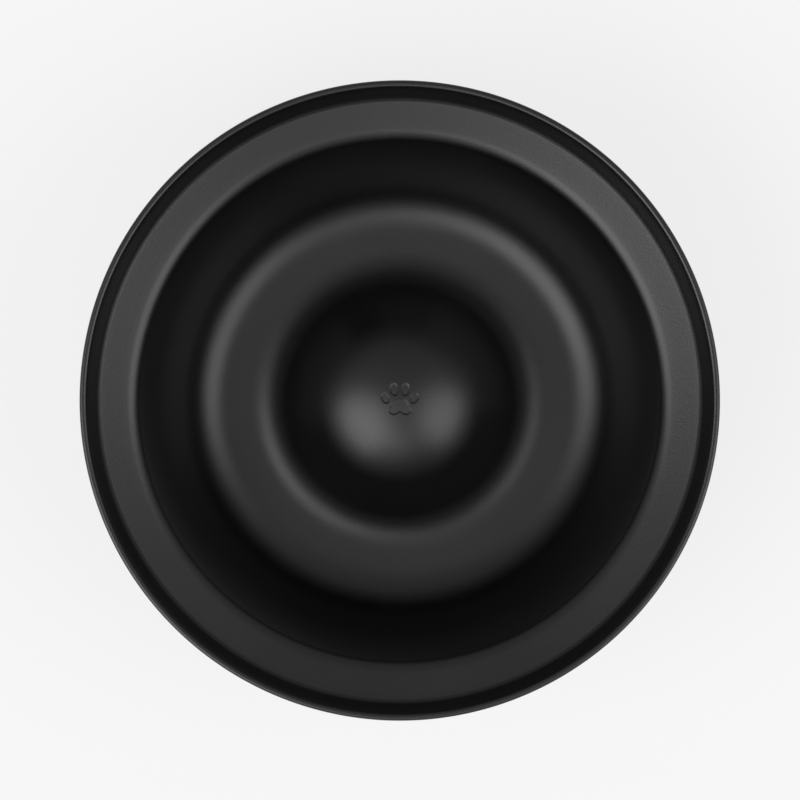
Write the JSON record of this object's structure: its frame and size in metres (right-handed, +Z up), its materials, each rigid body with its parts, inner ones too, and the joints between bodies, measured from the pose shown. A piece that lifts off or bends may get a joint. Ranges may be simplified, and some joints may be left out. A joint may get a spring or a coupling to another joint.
{
  "type": "dog bowl",
  "caption": "Round slow-feeding dog bowl: a lift-out dish with a central dome, carried in an outer shell on a non-slip foot ring.",
  "frame": {"origin": "on the floor, at the middle of the bowl's foot ring", "axes": "+Z up along the bowl's axis; the paw mark on the dome stands upright when seen from above with +Y at the top"},
  "size_m": [0.22, 0.22, 0.07],
  "materials": {
    "dish_moulding": "satin black moulding with a fine even texture",
    "shell_moulding": "satin black moulding with a fine even texture",
    "trim_silicone": "matte dark grey silicone",
    "foot_silicone": "matte dark grey silicone"
  },
  "bodies": {
    "holder": {"outer_shell": "shell_moulding", "edge_trim": "trim_silicone", "foot_ring": "foot_silicone"},
    "dish": {"feeding_dish": "dish_moulding"}
  },
  "joints": [
    {"name": "dish_lift", "type": "slide", "parent": "holder", "child": "dish", "axis": [0, 0, 1], "range_m": [0, 0.08]}
  ]
}
